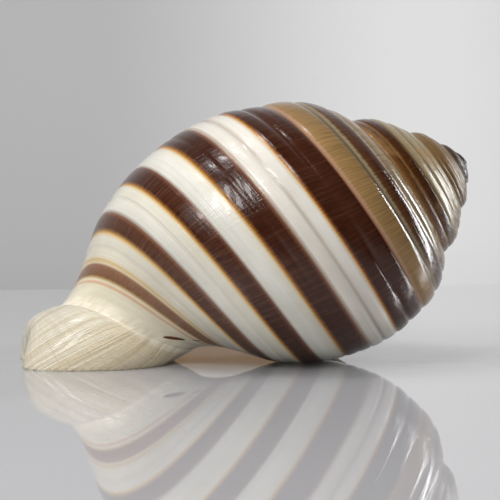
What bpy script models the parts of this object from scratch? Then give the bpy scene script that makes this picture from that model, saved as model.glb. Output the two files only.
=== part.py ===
# Banded tun shell, grown as one piece, lying on its aperture with its apex towards +X.
# A section outline is swept round the shell's axis while it grows. The hollow is cut out of
# the swept body, and the surface that the shell lies on trims the rim of its aperture.
import math

import bmesh
import bpy
from mathutils import Vector

MM = 0.001

# How the shell lies: place of its apex and tilt of its axis
APEX = Vector((47.2, -4.2, 41.25))
AXIS_TILT = math.radians(26.5)

# Growth per turn: radius and depth of the last whorl, then of the spire
RADIUS_RATE = 0.523
EARLY_RATE = 0.047
EARLY_TURN = -1.2
DEPTH_RATE = 0.42
DEPTH_LEAD = 25.7
SPIRE_TURN = -0.3
SPIRE_RATE = 0.75

# Turns grown: turn 0 faces the front and a quarter turn is the top
STEPS_PER_TURN = 30
FIRST_STEP = -120
LAST_STEP = 19
LAST_TURN = LAST_STEP / STEPS_PER_TURN

# Outline of the body whorl at turn 0, as radius and depth below the apex. All but the last
# three points are the edges of the brown bands; those three lead to the neck.
BODY = [
    (25.6, 28.5),
    (27.7, 36.1),
    (28.0, 42.6),
    (27.2, 48.6),
    (25.9, 53.4),
    (24.2, 57.6),
    (21.3, 62.5),
    (18.6, 65.4),
    (14.4, 69.3),
    (12.3, 71.8),
    (10.7, 74.7),
    (9.8, 77.6),
]
SEAM = 1
NECK = len(BODY) - 1

# Flat-topped ribs, evenly spaced on each span of the body outline, and their heights
RIBS = [2, 2, 2, 1, 1, 2, 1, 2, 1, 1, 1]
RIB_HEIGHTS = [0.42, 0.32, 0.2, 0.18, 0.14, 0.12, 0.1, 0.1, 0.08, 0.06, 0.0]
RIB_FLATNESS = 4
RIB_POINTS = (0.0, 0.14, 0.5, 0.86)
LOW_RIB_POINTS = (0.0, 0.5)
LOW_RIB_SPAN = 2
RIBS_START = (-3.9, -2.4)

# The ramp from the suture to the shoulder, which swells by a share of its length
RAMP_SWELL = 0.125
SPIRE_SWELL = 0.035
SWELL_TURNS = (-1.0, 0.1)
RAMP_RIBS = 3
RAMP_RIB_HEIGHT = 0.5

# Siphonal end, as shares of its length and of its crest's radius
CANAL = [(0.0, 0.0), (0.14, 0.72), (0.34, 1.0), (0.62, 0.99), (0.86, 0.86), (0.97, 0.6), (1.0, 0.2)]
CANAL_END = 99.3
CANAL_LENGTH = 22.0
CANAL_TAPER = 3.2
CREST_RADIUS = 12.2
FRONT_CREST = 14.4
CREST_OVER_NECK = 0.4
TOP_TURN = 0.25
TONGUE_TURNS = (-0.2, -0.02)
BASE_FALL = (0.34, 1.0)

# The fold at the front reaches further than the back: by how much, on which turns and shares
FRONT_REACH = 5.0
REACH_BEGINS = (-0.12, 0.0)
REACH_ENDS = (0.05, 0.25)
REACH_SHARES = (0.5, 1.0)

# Hollow: its wall, the thicker rim, the glaze over the whorl inside and the pillar in the middle
WALL = 1.4
RIM_WALL = 2.8
RIM_DEPTH = 9.0
CALLUS = 0.7
PILLAR_RADIUS = 4.6
HOLLOW_FIRST_STEP = -6
HOLLOW_PAST_LIP = 0.01
HOLLOW_START = -0.8
HOLLOW_COLUMNS = 16
HOLLOW_CANAL = 0.8
HOLLOW_SHORT = 2.0
CANAL_OPENS = (0.0, 0.4)
RIM_FROM_TURN = 0.5

# Half the distance over which a slope is taken: on the outline, and for the hollow
SLOPE_STEP = 0.01
HOLLOW_SLOPE_STEP = 0.02

TIP_DEPTH = 0.52
TABLE_SIZE = 200.0
SHELL_COLOUR = (0.52, 0.4, 0.31, 1.0)
SHELL_ROUGHNESS = 0.22
SHARP_ANGLE = math.radians(40.0)
MERGE_DISTANCE = 1e-6


def smooth_share(low, high, value):
    share = min(max((value - low) / (high - low), 0.0), 1.0)
    return share * share * (3.0 - 2.0 * share)


def through(points, at):
    # Catmull-Rom curve; at counts the points from 0
    first = min(max(math.floor(at), 0), len(points) - 2)
    share = at - first
    start = Vector(points[first])
    end = Vector(points[first + 1])
    before = Vector(points[first - 1]) if first > 0 else 2 * start - end
    after = Vector(points[first + 2]) if first + 2 < len(points) else 2 * end - start
    square = share * share
    cube = square * share
    return (
        start * (2 * cube - 3 * square + 1)
        + end * (3 * square - 2 * cube)
        + (end - before) / 2 * (cube - 2 * square + share)
        + (after - start) / 2 * (cube - square)
    )


def radius_growth(turn):
    early = max(EARLY_TURN - turn, 0.0)
    return math.exp(RADIUS_RATE * turn - EARLY_RATE * early * early)


def depth_growth(depth, turn):
    grown = (depth + DEPTH_LEAD) * math.exp(DEPTH_RATE * max(turn, SPIRE_TURN)) - DEPTH_LEAD
    return grown * math.exp(SPIRE_RATE * min(turn - SPIRE_TURN, 0.0))


def rib_height(height, share, turn):
    # share runs from one groove, 0, to the next, 1; the first whorls are smooth
    grown = smooth_share(*RIBS_START, turn)
    return height * grown * (1.0 - abs(2.0 * share - 1.0) ** RIB_FLATNESS)


def body_point(at, turn):
    # at counts the points of BODY, from the shoulder to the neck
    radius, depth = through(BODY, at)
    ahead = through(BODY, at + SLOPE_STEP) - through(BODY, at - SLOPE_STEP)
    outward = Vector((ahead.y, -ahead.x)).normalized()
    span = min(max(math.floor(at), 0), len(RIBS) - 1)
    share = ((at - span) * RIBS[span]) % 1.0
    lift = rib_height(RIB_HEIGHTS[span], share, turn)
    radius += outward.x * lift
    depth += outward.y * lift
    return Vector((radius * radius_growth(turn), depth_growth(depth, turn)))


def ramp_point(at, turn):
    # at runs from -1 at the suture to 0 at the shoulder
    suture = body_point(SEAM, turn - 1.0)
    shoulder = body_point(0, turn)
    along = shoulder - suture
    outward = Vector((along.y, -along.x))
    share = at + 1.0
    swell = SPIRE_SWELL + (RAMP_SWELL - SPIRE_SWELL) * smooth_share(*SWELL_TURNS, turn)
    swell *= 4.0 * share * (1.0 - share)
    lift = rib_height(RAMP_RIB_HEIGHT, (share * RAMP_RIBS) % 1.0, turn) * radius_growth(turn)
    return suture + along * share + outward * swell + outward.normalized() * lift


def canal_point(at, turn):
    # at runs from 0 at the neck to 1 at the siphonal end
    neck = body_point(NECK, turn)
    length = CANAL_END - neck.y
    if turn > 0.0:
        length = CANAL_LENGTH * math.exp(-CANAL_TAPER * turn)
    front = 1.0 - smooth_share(0.0, TOP_TURN, turn)
    crest = CREST_RADIUS + (FRONT_CREST - CREST_RADIUS) * front
    low = neck.x + CREST_OVER_NECK
    crest = max(low + (crest - low) * smooth_share(*TONGUE_TURNS, turn), low)
    share, height = through(CANAL, at * (len(CANAL) - 1))
    base = neck.x * (1.0 - smooth_share(*BASE_FALL, share))
    reach = smooth_share(*REACH_BEGINS, turn) * (1.0 - smooth_share(*REACH_ENDS, turn))
    reach *= FRONT_REACH * smooth_share(*REACH_SHARES, share)
    return Vector((base + (crest - base) * height, neck.y + length * share + reach))


def section_point(at, turn):
    if at < 0.0:
        return ramp_point(at, turn)
    if at <= NECK:
        return body_point(at, turn)
    return canal_point(at - NECK, turn)


def place(point, turn):
    # Section radius and depth to a place in the world
    angle = 2.0 * math.pi * turn
    along = Vector((math.cos(AXIS_TILT), 0.0, math.sin(AXIS_TILT)))
    upward = Vector((-math.sin(AXIS_TILT), 0.0, math.cos(AXIS_TILT)))
    forward = Vector((0.0, -1.0, 0.0))
    spot = APEX - along * point.y
    spot += (forward * math.cos(angle) + upward * math.sin(angle)) * point.x
    return spot * MM


def ribbed(first, last):
    # Columns from one outline count to another, with a few points on each rib
    columns = []
    for span in range(first, last):
        ribs = RIBS[span]
        shares = RIB_POINTS if span < LOW_RIB_SPAN else LOW_RIB_POINTS
        columns += [span + (rib + share) / ribs for rib in range(ribs) for share in shares]
    return columns + [last]


def sheet(bm, columns, turns, point):
    # A grid laid over the section columns and the turns, each vertex put on the surface
    across = len(columns) - 1
    steps = len(turns) - 1
    grid = bmesh.ops.create_grid(bm, x_segments=across, y_segments=steps, size=0.5)
    for vert in grid["verts"]:
        column = round((vert.co.x + 0.5) * across)
        step = round((vert.co.y + 0.5) * steps)
        vert.co = place(point(columns[column], turns[step]), turns[step])


def hollow_outer(share, turn):
    # The inside of the wall, from beside the suture to the canal, which opens as the lip nears
    opened = smooth_share(*CANAL_OPENS, turn)
    last = NECK - HOLLOW_SHORT + (HOLLOW_SHORT + HOLLOW_CANAL) * opened
    at = HOLLOW_START + (last - HOLLOW_START) * share
    ahead = section_point(at + HOLLOW_SLOPE_STEP, turn) - section_point(at - HOLLOW_SLOPE_STEP, turn)
    inward = Vector((-ahead.y, ahead.x)).normalized()
    point = section_point(at, turn)
    rim = 0.0
    if turn >= RIM_FROM_TURN:
        rim = 1.0 - smooth_share(0.0, RIM_DEPTH, place(point, turn).z / MM)
    return point + inward * (WALL + (RIM_WALL - WALL) * rim)


def hollow_inner(turn):
    # From the siphonal end of the pillar to the suture, over the whorl before
    points = [Vector((PILLAR_RADIUS, hollow_outer(1.0, turn).y))]
    for at in range(NECK, SEAM, -2):
        low = body_point(at - HOLLOW_SLOPE_STEP, turn - 1.0)
        ahead = body_point(at + HOLLOW_SLOPE_STEP, turn - 1.0) - low
        outward = Vector((ahead.y, -ahead.x)).normalized()
        points.append(body_point(at, turn - 1.0) + outward * CALLUS)
    return points


def hollow_point(column, turn):
    if column <= HOLLOW_COLUMNS:
        return hollow_outer(column / HOLLOW_COLUMNS, turn)
    points = hollow_inner(turn)
    if column <= HOLLOW_COLUMNS + len(points):
        return points[column - HOLLOW_COLUMNS - 1]
    return hollow_outer(0.0, turn)


def close(bm):
    # Join the whorls along the suture, then fill what is still open; returns the new faces
    bmesh.ops.remove_doubles(bm, verts=bm.verts, dist=MERGE_DISTANCE)
    filled = bmesh.ops.holes_fill(bm, edges=bm.edges, sides=0)["faces"]
    return sorted(filled, key=lambda face: (face.calc_center_median() - APEX * MM).length)


def add_object(bm, name):
    bmesh.ops.recalc_face_normals(bm, faces=bm.faces)
    mesh = bpy.data.meshes.new(name)
    bm.to_mesh(mesh)
    bm.free()
    piece = bpy.data.objects.new(name, mesh)
    bpy.context.scene.collection.objects.link(piece)
    return piece


def make_body():
    bm = bmesh.new()
    turns = [step / STEPS_PER_TURN for step in range(FIRST_STEP, LAST_STEP + 1)]
    ramp = [(rib + share) / RAMP_RIBS - 1.0 for rib in range(RAMP_RIBS) for share in RIB_POINTS]
    sheet(bm, ramp + ribbed(0, SEAM), turns, section_point)
    canal = [NECK + step / (len(CANAL) - 1) for step in range(1, len(CANAL))]
    sheet(bm, ribbed(SEAM, NECK) + canal, turns[-STEPS_PER_TURN - 1 :], section_point)
    tip = close(bm)[0]
    bmesh.ops.poke(bm, faces=[tip])["verts"][0].co = place(Vector((0.0, TIP_DEPTH)), 0.0)
    return add_object(bm, "shell")


def make_hollow():
    bm = bmesh.new()
    turns = [step / STEPS_PER_TURN for step in range(HOLLOW_FIRST_STEP, LAST_STEP + 1)]
    turns.append(LAST_TURN + HOLLOW_PAST_LIP)
    sheet(bm, range(HOLLOW_COLUMNS + len(hollow_inner(0.0)) + 2), turns, hollow_point)
    close(bm)
    return add_object(bm, "hollow_cutter")


def make_table():
    # What the rim is trimmed flat by
    bm = bmesh.new()
    bmesh.ops.create_cube(bm, size=TABLE_SIZE * MM)
    bmesh.ops.translate(bm, verts=bm.verts, vec=(0.0, 0.0, -TABLE_SIZE * MM / 2))
    return add_object(bm, "table_cutter")


def cut(piece, cutter):
    cutter.hide_render = True
    cutter.display_type = "WIRE"
    boolean = piece.modifiers.new(cutter.name, "BOOLEAN")
    boolean.operation = "DIFFERENCE"
    boolean.object = cutter


def make_material():
    material = bpy.data.materials.new("banded_shell")
    material.use_nodes = True
    shader = material.node_tree.nodes["Principled BSDF"]
    shader.inputs["Base Color"].default_value = SHELL_COLOUR
    shader.inputs["Roughness"].default_value = SHELL_ROUGHNESS
    shader.inputs["Metallic"].default_value = 0.0
    return material


def main():
    for item in list(bpy.data.objects):
        bpy.data.objects.remove(item)
    shell = make_body()
    cut(shell, make_hollow())
    cut(shell, make_table())
    shell.data.materials.append(make_material())
    shell.data.set_sharp_from_angle(angle=SHARP_ANGLE)


main()
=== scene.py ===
# Tun shell: its looks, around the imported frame. The shell's sizes are in millimetres until a point
# is placed; the stage, the lamps and the materials are in metres.
import math
from functools import lru_cache

import bmesh
import bpy
from mathutils import Matrix, Vector


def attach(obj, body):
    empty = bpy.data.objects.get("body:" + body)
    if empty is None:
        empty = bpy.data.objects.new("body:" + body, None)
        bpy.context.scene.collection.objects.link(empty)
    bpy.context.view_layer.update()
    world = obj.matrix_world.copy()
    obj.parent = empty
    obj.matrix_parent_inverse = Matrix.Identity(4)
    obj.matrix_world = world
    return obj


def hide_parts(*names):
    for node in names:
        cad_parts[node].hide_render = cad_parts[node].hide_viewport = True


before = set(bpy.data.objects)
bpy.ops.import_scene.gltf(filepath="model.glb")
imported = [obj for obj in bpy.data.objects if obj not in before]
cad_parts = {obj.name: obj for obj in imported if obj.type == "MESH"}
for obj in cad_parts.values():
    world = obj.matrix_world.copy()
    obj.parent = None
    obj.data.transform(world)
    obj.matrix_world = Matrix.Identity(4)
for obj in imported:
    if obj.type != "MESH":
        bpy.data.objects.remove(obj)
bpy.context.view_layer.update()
mm = 0.001

# Growth

growth = {
    "apex": Vector((47.2, -4.2, 41.25)),
    "tilt": math.radians(26.5),
    "radiusRate": 0.523,
    "earlyRate": 0.047,
    "earlyTurn": -1.2,
    "depthRate": 0.42,
    "depthLead": 25.7,
    "spireTurn": -0.3,
    "spireRate": 0.75,
    "stepsPerTurn": 120,
    "firstStep": -480,
    "lastStep": 75,
    "tipDepth": 0.62,
}

# Outline of the body whorl at turn 0: radius and depth below the apex, at the bands' edges
outline = [
    (25.6, 28.5),
    (27.7, 36.1),
    (28.0, 42.6),
    (27.2, 48.6),
    (25.9, 53.4),
    (24.2, 57.6),
    (21.3, 62.5),
    (18.6, 65.4),
    (14.4, 69.3),
    (12.3, 71.8),
    (10.7, 74.7),
    (9.8, 77.6),
]
seam = 1
neck = len(outline) - 1
slopeStep = 0.01

ribs = {
    "count": [2, 2, 2, 1, 1, 2, 1, 2, 1, 1, 1],
    "height": [0.42, 0.32, 0.2, 0.18, 0.14, 0.12, 0.1, 0.1, 0.08, 0.06, 0.0],
    "flatness": 4,
    "rampCount": 3,
    "rampHeight": 0.5,
    "start": (-3.9, -2.4),
    "points": 10,
    "pointsLow": 8,
}

ramp = {"swell": 0.125, "spireSwell": 0.035, "turns": (-1.0, 0.1)}

canal = {
    # share of the length, share of the crest's radius
    "shape": [(0.0, 0.0), (0.14, 0.72), (0.34, 1.0), (0.62, 0.99), (0.86, 0.86), (0.97, 0.6), (1.0, 0.2)],
    "end": 99.3,
    "length": 22.0,
    "taper": 3.2,
    "crest": 12.2,
    "frontCrest": 14.4,
    "overNeck": 0.4,
    "topTurn": 0.25,
    "tongueTurns": (-0.2, -0.02),
    "baseFall": (0.34, 1.0),
    "frontReach": 5.0,
    "reachBegins": (-0.12, 0.0),
    "reachEnds": (0.05, 0.25),
    "reachShares": (0.5, 1.0),
    "points": 36,
}

def smoothShare(low, high, value):
    share = min(max((value - low) / (high - low), 0.0), 1.0)
    return share * share * (3.0 - 2.0 * share)


def through(points, at):
    # A smooth curve through the points; at counts them from 0
    first = min(max(math.floor(at), 0), len(points) - 2)
    share = at - first
    start = Vector(points[first])
    end = Vector(points[first + 1])
    before = Vector(points[first - 1]) if first > 0 else 2 * start - end
    after = Vector(points[first + 2]) if first + 2 < len(points) else 2 * end - start
    square = share * share
    cube = square * share
    return (
        start * (2 * cube - 3 * square + 1)
        + end * (3 * square - 2 * cube)
        + (end - before) / 2 * (cube - 2 * square + share)
        + (after - start) / 2 * (cube - square)
    )


def radiusGrowth(turn):
    early = max(growth["earlyTurn"] - turn, 0.0)
    return math.exp(growth["radiusRate"] * turn - growth["earlyRate"] * early * early)


def depthGrowth(depth, turn):
    lead = growth["depthLead"]
    grown = (depth + lead) * math.exp(growth["depthRate"] * max(turn, growth["spireTurn"])) - lead
    return grown * math.exp(growth["spireRate"] * min(turn - growth["spireTurn"], 0.0))


def ribLift(height, share):
    return height * (1.0 - abs(2.0 * share - 1.0) ** ribs["flatness"])


@lru_cache(maxsize=None)
def outlineAt(at):
    # Point of the outline, its outward direction and its rib's height there
    ahead = through(outline, at + slopeStep) - through(outline, at - slopeStep)
    span = min(max(math.floor(at), 0), len(ribs["count"]) - 1)
    share = ((at - span) * ribs["count"][span]) % 1.0
    lift = ribLift(ribs["height"][span], share)
    return through(outline, at), Vector((ahead.y, -ahead.x)).normalized(), lift


@lru_cache(maxsize=None)
def bodyPoint(at, turn, ribbed=True):
    point, outward, lift = outlineAt(at)
    if ribbed:
        point = point + outward * lift * smoothShare(*ribs["start"], turn)
    return Vector((point.x * radiusGrowth(turn), depthGrowth(point.y, turn)))


def rampPoint(at, turn, ribbed=True):
    # at runs from -1 at the suture to 0 at the shoulder
    suture = bodyPoint(seam, turn - 1.0)
    along = bodyPoint(0, turn) - suture
    outward = Vector((along.y, -along.x))
    share = at + 1.0
    swell = ramp["spireSwell"] + (ramp["swell"] - ramp["spireSwell"]) * smoothShare(*ramp["turns"], turn)
    lift = ribLift(ribs["rampHeight"], (share * ribs["rampCount"]) % 1.0)
    lift *= radiusGrowth(turn) * smoothShare(*ribs["start"], turn) if ribbed else 0.0
    bulge = outward * swell * 4.0 * share * (1.0 - share)
    return suture + along * share + bulge + outward.normalized() * lift


def canalPoint(at, turn):
    # at runs from 0 at the neck to 1 at the siphonal end
    top = bodyPoint(neck, turn)
    length = canal["length"] * math.exp(-canal["taper"] * turn) if turn > 0.0 else canal["end"] - top.y
    front = 1.0 - smoothShare(0.0, canal["topTurn"], turn)
    crest = canal["crest"] + (canal["frontCrest"] - canal["crest"]) * front
    low = top.x + canal["overNeck"]
    crest = max(low + (crest - low) * smoothShare(*canal["tongueTurns"], turn), low)
    share, height = through(canal["shape"], at * (len(canal["shape"]) - 1))
    base = top.x * (1.0 - smoothShare(*canal["baseFall"], share))
    reach = smoothShare(*canal["reachBegins"], turn) * (1.0 - smoothShare(*canal["reachEnds"], turn))
    reach *= canal["frontReach"] * smoothShare(*canal["reachShares"], share)
    return Vector((base + (crest - base) * height, top.y + length * share + reach))


def sectionPoint(at, turn, ribbed=True):
    if at < 0.0:
        return rampPoint(at, turn, ribbed)
    if at <= neck:
        return bodyPoint(at, turn, ribbed)
    return canalPoint(at - neck, turn)


def place(point, turn):
    angle = 2.0 * math.pi * turn
    tilt = growth["tilt"]
    along = Vector((math.cos(tilt), 0.0, math.sin(tilt)))
    upward = Vector((-math.sin(tilt), 0.0, math.cos(tilt)))
    forward = Vector((0.0, -1.0, 0.0))
    spot = growth["apex"] - along * point.y
    spot += (forward * math.cos(angle) + upward * math.sin(angle)) * point.x
    return spot * mm


# Sweeping

# Where the UV map starts and what it spans: places in the section, turns
mapStart = (-1.0, -4.0)
mapSize = (neck + 2.0, 5.0)
mergeDistance = 1e-6  # metres


def sheet(bm, columns, turns, point):
    # A grid over the section and the turns; its UV map keeps where each vertex lies in them
    across = len(columns) - 1
    steps = len(turns) - 1
    grid = bmesh.ops.create_grid(bm, x_segments=across, y_segments=steps, size=0.5)["verts"]
    where = {}
    for vert in grid:
        column = columns[round((vert.co.x + 0.5) * across)]
        turn = turns[round((vert.co.y + 0.5) * steps)]
        where[vert] = ((column - mapStart[0]) / mapSize[0], (turn - mapStart[1]) / mapSize[1])
        vert.co = place(point(column, turn), turn)
    layer = bm.loops.layers.uv.verify()
    for face in {face for vert in grid for face in vert.link_faces}:
        for loop in face.loops:
            loop[layer].uv = where[loop.vert]


def ribColumns(first, last):
    columns = []
    for span in range(first, last):
        count = ribs["count"][span] * ribs["pointsLow"]
        columns += [span + step / count for step in range(count)]
    return columns + [last]


hollow = {
    "wall": 1.4,
    "rimWall": 2.8,
    "rimDepth": 9.0,
    "glaze": 0.7,
    "pillar": 4.6,
    "firstStep": -24,
    "pastLip": 0.01,
    "start": -0.8,
    "columns": 132,
    "canalShare": 0.8,
    "opens": (0.0, 0.4),
    "teeth": 20,
    "toothHeight": 0.55,
    "toothFade": (1.0, 6.0),
    "thinTowardsCanal": (6.5, 9.0),
    "rimFromTurn": 0.5,
    "short": 2.0,
    "outerStep": 0.1,
    "innerStep": 0.02,
    "innerStride": 2,
}


def hollowOuter(share, turn):
    opened = smoothShare(*hollow["opens"], turn)
    last = neck - hollow["short"] + (hollow["short"] + hollow["canalShare"]) * opened
    at = hollow["start"] + (last - hollow["start"]) * share
    step = hollow["outerStep"]
    ahead = sectionPoint(at + step, turn, False) - sectionPoint(at - step, turn, False)
    inward = Vector((-ahead.y, ahead.x)).normalized()
    point = sectionPoint(at, turn, False)
    wall = hollow["wall"]
    if turn >= hollow["rimFromTurn"]:
        height = place(point, turn).z / mm
        thick = 1.0 - smoothShare(*hollow["thinTowardsCanal"], at)
        wall += thick * (hollow["rimWall"] - wall) * (1.0 - smoothShare(0.0, hollow["rimDepth"], height))
        tooth = max(math.cos(2.0 * math.pi * hollow["teeth"] * share), 0.0) * thick
        wall += hollow["toothHeight"] * tooth * (1.0 - smoothShare(*hollow["toothFade"], height))
    return point + inward * wall


def hollowInner(turn):
    points = [Vector((hollow["pillar"], hollowOuter(1.0, turn).y))]
    step = hollow["innerStep"]
    for at in range(neck, seam, -hollow["innerStride"]):
        ahead = bodyPoint(at + step, turn - 1.0) - bodyPoint(at - step, turn - 1.0)
        outward = Vector((ahead.y, -ahead.x)).normalized()
        points.append(bodyPoint(at, turn - 1.0) + outward * hollow["glaze"])
    return points


def hollowPoint(column, turn):
    if column <= hollow["columns"]:
        return hollowOuter(column / hollow["columns"], turn)
    points = hollowInner(turn)
    if column <= hollow["columns"] + len(points):
        return points[column - hollow["columns"] - 1]
    return hollowOuter(0.0, turn)


def closeUp(bm):
    bmesh.ops.remove_doubles(bm, verts=bm.verts, dist=mergeDistance)
    filled = bmesh.ops.holes_fill(bm, edges=bm.edges, sides=0)["faces"]
    # nearest the apex first
    return sorted(filled, key=lambda face: (face.calc_center_median() - growth["apex"] * mm).length)


def addPiece(bm, name, material):
    bmesh.ops.recalc_face_normals(bm, faces=bm.faces)
    mesh = bpy.data.meshes.new(name)
    bm.to_mesh(mesh)
    bm.free()
    mesh.materials.append(material)
    mesh.shade_smooth()
    piece = bpy.data.objects.new(name, mesh)
    bpy.context.scene.collection.objects.link(piece)
    return piece


def makeBody(material):
    bm = bmesh.new()
    perTurn = growth["stepsPerTurn"]
    turns = [step / perTurn for step in range(growth["firstStep"], growth["lastStep"] + 1)]
    count = ribs["rampCount"] * ribs["points"]
    sheet(bm, [step / count - 1.0 for step in range(count)] + ribColumns(0, seam), turns, sectionPoint)
    end = [neck + step / canal["points"] for step in range(1, canal["points"] + 1)]
    sheet(bm, ribColumns(seam, neck) + end, turns[-perTurn - 1 :], sectionPoint)
    tip = closeUp(bm)[0]
    bmesh.ops.poke(bm, faces=[tip])["verts"][0].co = place(Vector((0.0, growth["tipDepth"])), 0.0)
    return addPiece(bm, "tun_shell", material)


def makeHollow(material):
    bm = bmesh.new()
    perTurn = growth["stepsPerTurn"]
    turns = [step / perTurn for step in range(hollow["firstStep"], growth["lastStep"] + 1)]
    turns.append(turns[-1] + hollow["pastLip"])
    sheet(bm, range(hollow["columns"] + len(hollowInner(0.0)) + 2), turns, hollowPoint)
    closeUp(bm)
    return addPiece(bm, "hollow_tool", material)


tableBlock = 0.2  # metres


def makeTable(material):
    bm = bmesh.new()
    bmesh.ops.create_cube(bm, size=tableBlock)
    bmesh.ops.translate(bm, verts=bm.verts, vec=(0.0, 0.0, -tableBlock / 2))
    return addPiece(bm, "table_tool", material)


def cutAway(piece, tool):
    boolean = piece.modifiers.new(tool.name, "BOOLEAN")
    boolean.operation = "DIFFERENCE"
    boolean.solver = "MANIFOLD"
    boolean.material_mode = "TRANSFER"
    boolean.object = tool
    shown = piece.evaluated_get(bpy.context.evaluated_depsgraph_get())
    mesh = bpy.data.meshes.new_from_object(shown)
    piece.modifiers.clear()
    piece.data = mesh
    bpy.data.objects.remove(tool)


# Materials

banding = {
    # place across the section, colour; -1 is the suture, 0 the shoulder, whole numbers the bands' edges
    "upper": [
        # from the suture to the shoulder the tones are darkened: partly the ramp's own tan, partly painted
        # shade
        (-1.0, (0.74, 0.68, 0.58)),
        (-0.965, (0.6, 0.5, 0.38)),
        (-0.93, (0.167, 0.124, 0.071)),
        (-0.80, (0.223, 0.18, 0.112)),
        (-0.69, (0.167, 0.124, 0.077)),
        (-0.665, (0.322, 0.26, 0.217)),
        (-0.64, (0.046, 0.019, 0.009)),
        (-0.50, (0.037, 0.012, 0.005)),
        (-0.40, (0.068, 0.028, 0.011)),
        (-0.365, (0.223, 0.174, 0.105)),
        (-0.335, (0.068, 0.053, 0.03)),
        (-0.27, (0.16, 0.098, 0.04)),
        (-0.045, (0.235, 0.14, 0.055)),
        (-0.02, (0.34, 0.21, 0.13)),
        (0.01, (0.16, 0.06, 0.03)),
        (0.06, (0.034, 0.01, 0.005)),
        (0.50, (0.042, 0.012, 0.006)),
        (0.88, (0.032, 0.009, 0.004)),
        (0.94, (0.14, 0.042, 0.01)),
        (0.975, (0.42, 0.2, 0.04)),
        (1.02, (0.552, 0.47, 0.34)),
        (1.10, (0.607, 0.583, 0.53)),
        (1.36, (0.57, 0.536, 0.48)),
        (1.46, (0.405, 0.357, 0.3)),
        (1.54, (0.57, 0.536, 0.48)),
        (1.90, (0.589, 0.555, 0.5)),
    ],
    "lower": [
        (1.92, (0.513, 0.46, 0.387)),
        (2.06, (0.15, 0.06, 0.034)),
        (2.16, (0.042, 0.013, 0.007)),
        (2.82, (0.036, 0.01, 0.005)),
        (2.91, (0.2, 0.07, 0.015)),
        (2.98, (0.46, 0.26, 0.06)),
        (3.06, (0.564, 0.522, 0.423)),
        (3.40, (0.598, 0.583, 0.534)),
        (3.93, (0.581, 0.565, 0.506)),
        (4.07, (0.13, 0.05, 0.027)),
        (4.22, (0.05, 0.016, 0.008)),
        (4.82, (0.042, 0.012, 0.006)),
        (4.92, (0.24, 0.095, 0.02)),
        (5.00, (0.5, 0.31, 0.09)),
        (5.09, (0.581, 0.548, 0.451)),
        (5.90, (0.598, 0.583, 0.525)),
        (6.05, (0.2, 0.095, 0.055)),
        (6.20, (0.09, 0.036, 0.02)),
        (6.80, (0.07, 0.026, 0.013)),
        (6.92, (0.3, 0.145, 0.04)),
        (7.02, (0.56, 0.38, 0.14)),
        (7.13, (0.63, 0.595, 0.505)),
        (7.76, (0.612, 0.567, 0.465)),
        (7.87, (0.56, 0.41, 0.18)),
        (7.97, (0.66, 0.56, 0.38)),
        (8.07, (0.26, 0.135, 0.085)),
        (8.22, (0.196, 0.099, 0.057)),
        (8.70, (0.167, 0.083, 0.045)),
        (8.84, (0.4, 0.27, 0.11)),
        (8.98, (0.612, 0.558, 0.426)),
        (9.16, (0.5, 0.3, 0.18)),
        (9.30, (0.594, 0.549, 0.426)),
    ],
    "spire": [
        # the spire's tones are darkened: partly its own olive tan and brown, partly painted shade
        (-1.0, (0.6, 0.5, 0.35)),
        (-0.96, (0.205, 0.161, 0.093)),
        (-0.70, (0.236, 0.192, 0.118)),
        (-0.66, (0.068, 0.05, 0.028)),
        (-0.62, (0.223, 0.18, 0.105)),
        (-0.37, (0.205, 0.161, 0.093)),
        (-0.33, (0.062, 0.045, 0.025)),
        (-0.29, (0.217, 0.174, 0.102)),
        (-0.04, (0.192, 0.149, 0.084)),
        (0.00, (0.074, 0.037, 0.015)),
        (0.08, (0.034, 0.011, 0.004)),
        (0.42, (0.046, 0.015, 0.004)),
        (0.50, (0.167, 0.077, 0.019)),
        (0.58, (0.053, 0.02, 0.006)),
        (0.85, (0.099, 0.043, 0.012)),
        (1.0, (0.198, 0.105, 0.034)),
    ],
    "lowerFrom": 1.91,
    "spireTurns": (-0.62, -0.42),
    "brownTurns": (-1.75, -1.5),
    "brown": (0.135, 0.080, 0.030),
    "tipTurns": (-2.75, -2.45),
    "tip": (0.022, 0.011, 0.009),
    "blackTurns": (-3.75, -3.5),
    "black": (0.004, 0.003, 0.003),
    "canalFrom": (9.6, 11.0),
    "canal": (0.72, 0.67, 0.55),
    "canalDeep": (0.52, 0.43, 0.29),
    "blushTurns": (-0.01, 0.12),
    "blush": (0.52, 0.42, 0.26),
    "ragged": 0.05,
    # slits beside the pillar, painted dark as the shade inside these gaps: middle across the section, middle
    # turn, half length, half width
    "slits": [(10.02, -0.0575, 0.42, 0.013), (9.1, -0.09, 0.2, 0.005)],
    "slitSlope": 0.038,
    "slitShade": (0.11, 0.025, 0.007),
}

gloss = {
    "roughness": (0.07, 0.16),
    "roughLines": (0.3, 0.7),
    "canalSmoother": 0.04,
    "specular": 0.32,
    "coat": 0.2,
    "coatRoughness": 0.03,
    "glow": 0.08,
    "glowInside": 0.6,
    "glowRadius": (1.0, 0.8, 0.6),
    "glowScale": 0.0015,
    "threadBump": 0.35,
    "growthBump": 0.38,
    "fineBump": 0.19,
    "pearlBump": 0.9,
    "pearlDistance": 0.0006,
    "pearlWidth": 0.08,
    "bumpDistance": 0.0002,
}

grains = {
    # a noise's fineness across the section and along the turns, and its detail
    "lines": (0.5, 260.0, 3.0),
    "fine": (2.0, 620.0, 3.0),
    "threads": (26.0, 2.2, 3.0),
    "clouds": (0.9, 9.0, 4.0),
    "flames": (2.5, 46.0, 3.0),
    "folds": (0.8, 60.0, 3.0),
    "pearl": (44.0, 14.0, 3.0),
}

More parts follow.
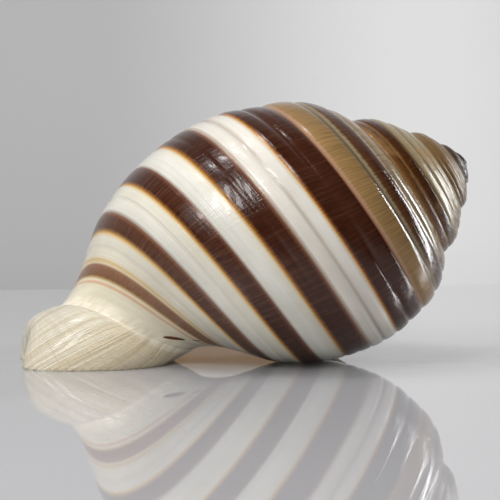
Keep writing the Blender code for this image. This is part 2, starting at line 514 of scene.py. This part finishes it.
markings = {
    # ranges are the noise values between which a mark fades in, shares how far it covers
    "flameRange": (0.48, 0.60),
    "flamesBegin": (-0.97, -0.92),
    "flamesEnd": (-0.78, -0.70),
    "flameShare": 0.75,
    "flame": (0.17, 0.085, 0.04),
    "spireFlameRange": (0.50, 0.62),
    "spireFlameShare": 0.35,
    "spireFlame": (0.34, 0.19, 0.075),
    "earlyShare": 0.86,
    "foldRange": (0.42, 0.66),
    "foldShare": 0.55,
    "neckWidth": 0.1,
    "blushShare": 0.6,
    "slitEdge": (0.8, 1.1),
    "dark": (0.12, 0.30),
    "shadeRange": (0.36, 0.64),
    "shade": (0.6, 1.25),
    "shadeShare": 0.5,
    "streakRange": (0.44, 0.74),
    "streakBands": (0.0, 7.0),
    "streakShares": (0.07, 0.20),
    "streak": (0.27, 0.14, 0.075),
    "cloudRange": (0.35, 0.75),
    "cloudShare": 0.30,
    "cloudDepth": 0.55,
    "cloud": (0.20, 0.12, 0.08),
    "threadRange": (0.52, 0.70),
    "threadOn": (0.1, 0.5),
    "threadShares": (0.0, 0.30),
    "thread": (0.40, 0.34, 0.25),
}


class Maker:
    # Builds nodes in one material; a number, colour or socket may be given for each input
    def __init__(self, name):
        self.material = bpy.data.materials.new(name)
        self.material.use_nodes = True
        self.tree = self.material.node_tree
        self.shader = self.tree.nodes["Principled BSDF"]

    def give(self, socket, value):
        if isinstance(value, bpy.types.NodeSocket):
            self.tree.links.new(value, socket)
        elif isinstance(value, tuple) and len(value) == 3 and socket.type == "RGBA":
            socket.default_value = (*value, 1.0)
        else:
            socket.default_value = value

    def math(self, operation, first, second=0.0):
        made = self.tree.nodes.new("ShaderNodeMath")
        made.operation = operation
        self.give(made.inputs[0], first)
        self.give(made.inputs[1], second)
        return made.outputs[0]

    def plus(self, first, second):
        return self.math("ADD", first, second)

    def minus(self, first, second):
        return self.math("SUBTRACT", first, second)

    def times(self, first, second):
        return self.math("MULTIPLY", first, second)

    def squared(self, value, unit):
        return self.math("POWER", self.math("ABSOLUTE", self.math("DIVIDE", value, unit)), 2.0)

    def span(self, value, low, high, toLow=0.0, toHigh=1.0, smooth=True):
        made = self.tree.nodes.new("ShaderNodeMapRange")
        made.interpolation_type = "SMOOTHSTEP" if smooth else "LINEAR"
        for socket, given in zip(made.inputs, (value, low, high, toLow, toHigh)):
            self.give(socket, given)
        return made.outputs[0]

    def fade(self, value, low, high):
        # 1 up to low, 0 from high on
        return self.span(value, high, low)

    def mix(self, share, first, second, blend="MIX"):
        made = self.tree.nodes.new("ShaderNodeMix")
        made.data_type = "RGBA"
        made.blend_type = blend
        self.give(made.inputs["Factor"], share)
        self.give(made.inputs[6], first)
        self.give(made.inputs[7], second)
        return made.outputs[2]

    def vector(self, x, y, z=0.0):
        made = self.tree.nodes.new("ShaderNodeCombineXYZ")
        for socket, given in zip(made.inputs, (x, y, z)):
            self.give(socket, given)
        return made.outputs[0]

    def split(self, vector):
        made = self.tree.nodes.new("ShaderNodeSeparateXYZ")
        self.give(made.inputs[0], vector)
        return made.outputs

    def place(self):
        return self.tree.nodes.new("ShaderNodeTexCoord").outputs["Object"]

    def brightness(self, colour):
        made = self.tree.nodes.new("ShaderNodeRGBToBW")
        self.give(made.inputs[0], colour)
        return made.outputs[0]

    def noise(self, vector, scale=1.0, detail=3.0, roughness=0.55):
        made = self.tree.nodes.new("ShaderNodeTexNoise")
        self.give(made.inputs["Vector"], vector)
        made.inputs["Scale"].default_value = scale
        made.inputs["Detail"].default_value = detail
        made.inputs["Roughness"].default_value = roughness
        return made.outputs["Fac"]

    def ramp(self, value, stops):
        # stops hold places on value's own scale
        low = stops[0][0]
        high = stops[-1][0]
        made = self.tree.nodes.new("ShaderNodeValToRGB")
        self.give(made.inputs[0], self.span(value, low, high, smooth=False))
        elements = made.color_ramp.elements
        while len(elements) < len(stops):
            elements.new(1.0)
        for element, (at, colour) in zip(elements, stops):
            element.position = (at - low) / (high - low)
            element.color = (*colour, 1.0)
        return made.outputs[0]

    def bump(self, height, strength, distance=gloss["bumpDistance"], normal=None):
        made = self.tree.nodes.new("ShaderNodeBump")
        made.inputs["Strength"].default_value = strength
        made.inputs["Distance"].default_value = distance
        self.give(made.inputs["Height"], height)
        if normal is not None:
            self.give(made.inputs["Normal"], normal)
        return made.outputs[0]

    def plain(self, roughness, colour):
        self.give(self.shader.inputs["Base Color"], colour)
        self.give(self.shader.inputs["Roughness"], roughness)
        return self.material

    def polish(self, roughness, colour, normal, glow=0.0):
        self.shader.inputs["Coat Weight"].default_value = gloss["coat"]
        self.shader.inputs["Coat Roughness"].default_value = gloss["coatRoughness"]
        self.shader.inputs["Specular IOR Level"].default_value = gloss["specular"]
        self.shader.inputs["Subsurface Weight"].default_value = glow
        self.shader.inputs["Subsurface Radius"].default_value = gloss["glowRadius"]
        self.shader.inputs["Subsurface Scale"].default_value = gloss["glowScale"]
        self.give(self.shader.inputs["Normal"], normal)
        return self.plain(roughness, colour)


class ShellMaker(Maker):
    # Reads from the UV map where a point lies in the section and in the turns
    def __init__(self, name):
        super().__init__(name)
        across, along = self.split(self.tree.nodes.new("ShaderNodeUVMap").outputs[0])[:2]
        self.at = self.plus(self.times(across, mapSize[0]), mapStart[0])
        self.turn = self.plus(self.times(along, mapSize[1]), mapStart[1])

    def grain(self, name):
        across, along, detail = grains[name]
        spot = self.vector(self.times(self.at, across), self.times(self.turn, along))
        return self.noise(spot, detail=detail)

    def pastNeck(self, width, most=1.0):
        return self.span(self.at, neck, neck + width, 0.0, most)


def bandColours(make, edge, grain):
    upper = make.ramp(edge, banding["upper"])
    lower = make.ramp(edge, banding["lower"])
    colour = make.mix(make.math("GREATER_THAN", edge, banding["lowerFrom"]), upper, lower)
    # Brown flames beside the suture
    flames = make.span(grain["flames"], *markings["flameRange"])
    beside = make.times(make.span(edge, *markings["flamesBegin"]), make.fade(edge, *markings["flamesEnd"]))
    share = make.times(make.times(flames, beside), markings["flameShare"])
    return make.mix(share, colour, markings["flame"])


def spireColours(make, colour, edge, grain):
    # The early turns lose their bands and end in a black tip
    flames = make.span(grain["clouds"], *markings["spireFlameRange"])
    flames = make.times(flames, markings["spireFlameShare"])
    spire = make.mix(flames, make.ramp(edge, banding["spire"]), markings["spireFlame"])
    colour = make.mix(make.fade(make.turn, *banding["spireTurns"]), colour, spire)
    for turns, tone in (("brownTurns", "brown"), ("tipTurns", "tip"), ("blackTurns", "black")):
        share = make.times(make.fade(make.turn, *banding[turns]), markings["earlyShare"])
        colour = make.mix(share, colour, banding[tone])
    return colour


def canalColours(make, colour, grain):
    # The siphonal end is cream, with darker growth folds and two slits painted dark as the shade inside the
    # gaps
    folds = make.times(make.span(grain["folds"], *markings["foldRange"]), markings["foldShare"])
    cream = make.mix(folds, banding["canal"], banding["canalDeep"])
    colour = make.mix(make.span(make.at, *banding["canalFrom"]), colour, cream)
    early = make.fade(make.turn, *banding["blushTurns"])
    blush = make.times(make.pastNeck(markings["neckWidth"]), early)
    colour = make.mix(make.times(blush, markings["blushShare"]), colour, banding["blush"])
    for middle, middleTurn, halfLength, halfWidth in banding["slits"]:
        along = make.minus(make.at, middle)
        line = make.plus(make.times(along, banding["slitSlope"]), middleTurn)
        off = make.minus(make.turn, line)
        oval = make.plus(make.squared(along, halfLength), make.squared(off, halfWidth))
        # painted shade: a dark oval where each gap lies
        colour = make.mix(make.fade(oval, *markings["slitEdge"]), colour, banding["slitShade"])
    return colour


def wornColours(make, colour, grain):
    # Pale streaks across the dark bands, faint grey ones along the white
    bright = make.brightness(colour)
    darkness = make.fade(bright, *markings["dark"])
    shade = make.span(grain["fine"], *markings["shadeRange"], *markings["shade"])
    colour = make.mix(make.times(darkness, markings["shadeShare"]), colour, shade, "MULTIPLY")
    streaks = make.times(make.span(grain["lines"], *markings["streakRange"]), darkness)
    most = make.span(make.at, *markings["streakBands"], *markings["streakShares"])
    colour = make.mix(make.times(streaks, most), colour, markings["streak"])
    cloudy = make.times(make.span(grain["clouds"], *markings["cloudRange"]), markings["cloudShare"])
    clouded = make.mix(markings["cloudDepth"], colour, markings["cloud"], "MULTIPLY")
    colour = make.mix(cloudy, colour, clouded)
    most = make.span(bright, *markings["threadOn"], *markings["threadShares"])
    grey = make.times(make.span(grain["threads"], *markings["threadRange"]), most)
    return make.mix(grey, colour, markings["thread"])


def shellRelief(make, grain):
    # Growth lines run across the bands, threads along them; the siphonal end is pearled
    normal = make.bump(grain["threads"], gloss["threadBump"])
    normal = make.bump(grain["lines"], gloss["growthBump"], normal=normal)
    normal = make.bump(grain["fine"], gloss["fineBump"], normal=normal)
    pearl = make.minus(make.plus(grain["pearl"], grain["lines"]), 1.0)
    pearl = make.times(pearl, make.pastNeck(gloss["pearlWidth"]))
    return make.bump(pearl, gloss["pearlBump"], distance=gloss["pearlDistance"], normal=normal)


def shellMaterial():
    make = ShellMaker("banded_shell")
    grain = {name: make.grain(name) for name in grains}
    edge = make.plus(make.at, make.times(make.minus(grain["fine"], 0.5), banding["ragged"]))
    colour = bandColours(make, edge, grain)
    colour = spireColours(make, colour, edge, grain)
    colour = canalColours(make, colour, grain)
    colour = wornColours(make, colour, grain)
    roughness = make.span(grain["lines"], *gloss["roughLines"], *gloss["roughness"])
    smoother = make.pastNeck(markings["neckWidth"], gloss["canalSmoother"])
    return make.polish(make.minus(roughness, smoother), colour, shellRelief(make, grain), gloss["glow"])


inside = {
    "glaze": (0.78, 0.77, 0.75),
    "deep": (0.62, 0.60, 0.60),
    "tan": (0.50, 0.33, 0.18),
    "tanHeight": (0.004, 0.0095),
    "mottleScale": 90.0,
    "mottleDetail": 4.0,
    "mottleRange": (0.3, 0.7),
    "roughness": (0.14, 0.24),
    "grainScale": 400.0,
    "grainBump": 0.08,
    "lit": 0.3,  # stands for the light that comes through the thin wall
}


def insideMaterial():
    make = Maker("porcelain_inside")
    place = make.place()
    mottle = make.noise(place, scale=inside["mottleScale"], detail=inside["mottleDetail"])
    colour = make.mix(mottle, inside["deep"], inside["glaze"])
    colour = make.mix(make.fade(make.split(place)[2], *inside["tanHeight"]), colour, inside["tan"])
    make.give(make.shader.inputs["Emission Color"], colour)
    make.shader.inputs["Emission Strength"].default_value = inside["lit"]
    roughness = make.span(mottle, *inside["mottleRange"], *inside["roughness"])
    normal = make.bump(make.noise(place, scale=inside["grainScale"]), inside["grainBump"])
    return make.polish(roughness, colour, normal, gloss["glowInside"])


rim = {
    "dark": (0.55, 0.48, 0.36),
    "pale": (0.74, 0.70, 0.60),
    "mottleScale": 160.0,
    "mottleDetail": 4.0,
    "mottleRange": (0.3, 0.7),
    "roughness": (0.25, 0.45),
    "bump": 0.1,
}


def rimMaterial():
    make = Maker("worn_rim")
    mottle = make.noise(make.place(), scale=rim["mottleScale"], detail=rim["mottleDetail"])
    colour = make.mix(mottle, rim["dark"], rim["pale"])
    roughness = make.span(mottle, *rim["mottleRange"], *rim["roughness"])
    return make.polish(roughness, colour, make.bump(mottle, rim["bump"]))


# The scene

camera = {
    "apexRight": 46.1,  # where the apex lies, seen from the camera
    "apexUp": 18.9,
    "apexAhead": 315.8,
    "pitch": math.radians(3.3),
    "heading": math.radians(7.7),
    "lens": 108.0,
    "sensor": 36.0,
}


def makeCamera():
    data = bpy.data.cameras.new("camera")
    data.lens = camera["lens"]
    data.sensor_width = camera["sensor"]
    view = bpy.data.objects.new("camera", data)
    pitch = camera["pitch"]
    heading = camera["heading"]
    level = math.cos(pitch)
    right = Vector((math.cos(heading), -math.sin(heading), 0.0))
    ahead = Vector((math.sin(heading) * level, math.cos(heading) * level, -math.sin(pitch)))
    up = right.cross(ahead)
    spot = growth["apex"] - right * camera["apexRight"] - up * camera["apexUp"] - ahead * camera["apexAhead"]
    view.location = spot * mm
    view.rotation_euler = (math.pi / 2 - pitch, 0.0, -heading)
    bpy.context.scene.collection.objects.link(view)
    bpy.context.scene.camera = view
    bpy.context.scene.view_settings.view_transform = "Standard"


stage = {
    "size": 3.0,
    "floor": (0.34, 0.34, 0.35),
    "floorRoughness": 0.02,
    "floorIor": 1.7,
    "floorEnd": 0.175,
    "wall": (0.50, 0.50, 0.50),
    # painted light on the backdrop: a lighter tone towards its right, fading in across the span given below
    "wallPaintedLight": (0.90, 0.90, 0.90),
    "wallRoughness": 0.8,
    "wallDistance": 0.75,
    "paintedLightFrom": (-0.02, 0.26),
    "cloudScale": 5.0,
    "cloudShade": 0.96,
    "world": (0.84, 0.84, 0.84),
    "worldStrength": 0.42,
}

lamps = {
    # place, width, height, power, seen in reflections
    "leftPane": ((-0.44, -0.34, 0.48), 0.07, 0.26, 1.3, True),
    "rightPane": ((-0.34, -0.44, 0.48), 0.07, 0.26, 1.3, True),
    "key": ((-0.20, 0.0, 0.70), 0.6, 0.6, 4.3, False),
    "top": ((-0.26, 0.02, 0.62), 0.05, 0.12, 0.7, True),
    "right": ((0.55, 0.13, 0.14), 0.05, 0.36, 3.0, True),
    "low": ((-0.05, -0.60, 0.06), 0.40, 0.08, 1.2, False),
}
lampsAim = Vector((0.0, 0.0, 0.02))


def stageColour(make, tone):
    cloud = make.noise(make.place(), scale=stage["cloudScale"])
    return make.mix(cloud, tone, tuple(part * stage["cloudShade"] for part in tone))


def floorMaterial():
    make = Maker("floor")
    make.shader.inputs["IOR"].default_value = stage["floorIor"]
    return make.plain(stage["floorRoughness"], stageColour(make, stage["floor"]))


def backdropMaterial():
    make = Maker("backdrop")
    # painted light: the backdrop is painted lighter towards its right
    bright = make.span(make.split(make.place())[0], *stage["paintedLightFrom"])
    colour = make.mix(bright, stageColour(make, stage["wall"]), stage["wallPaintedLight"])
    return make.plain(stage["wallRoughness"], colour)


def makePlane(name, material, turned, spot):
    bm = bmesh.new()
    bmesh.ops.create_grid(bm, x_segments=1, y_segments=1, size=stage["size"])
    bmesh.ops.rotate(bm, verts=bm.verts, matrix=Matrix.Rotation(turned, 3, "X"))
    bmesh.ops.translate(bm, verts=bm.verts, vec=spot)
    addPiece(bm, name, material)


def makeStage():
    makePlane("floor", floorMaterial(), 0.0, (0.0, stage["floorEnd"] - stage["size"], 0.0))
    makePlane("backdrop", backdropMaterial(), math.pi / 2, (0.0, stage["wallDistance"], 0.0))


def makeWorld():
    world = bpy.data.worlds.new("studio")
    world.use_nodes = True
    back = world.node_tree.nodes["Background"]
    back.inputs["Color"].default_value = (*stage["world"], 1.0)
    back.inputs["Strength"].default_value = stage["worldStrength"]
    world.cycles_visibility.glossy = False
    bpy.context.scene.world = world


def makeLamps():
    for name, (spot, width, height, power, mirrored) in lamps.items():
        light = bpy.data.lights.new(name, "AREA")
        light.shape = "RECTANGLE"
        light.size = width
        light.size_y = height
        light.energy = power
        lamp = bpy.data.objects.new(name, light)
        lamp.location = spot
        lamp.visible_glossy = mirrored
        lamp.rotation_euler = (lampsAim - Vector(spot)).to_track_quat("-Z", "Y").to_euler()
        bpy.context.scene.collection.objects.link(lamp)


makeCamera()
makeStage()
makeWorld()
makeLamps()
print("camera, stage and lights set")
tunShell = makeBody(shellMaterial())
cutAway(tunShell, makeHollow(insideMaterial()))
cutAway(tunShell, makeTable(rimMaterial()))
print("shell grown:", len(tunShell.data.polygons), "faces")
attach(tunShell, "root")
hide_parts("shell")
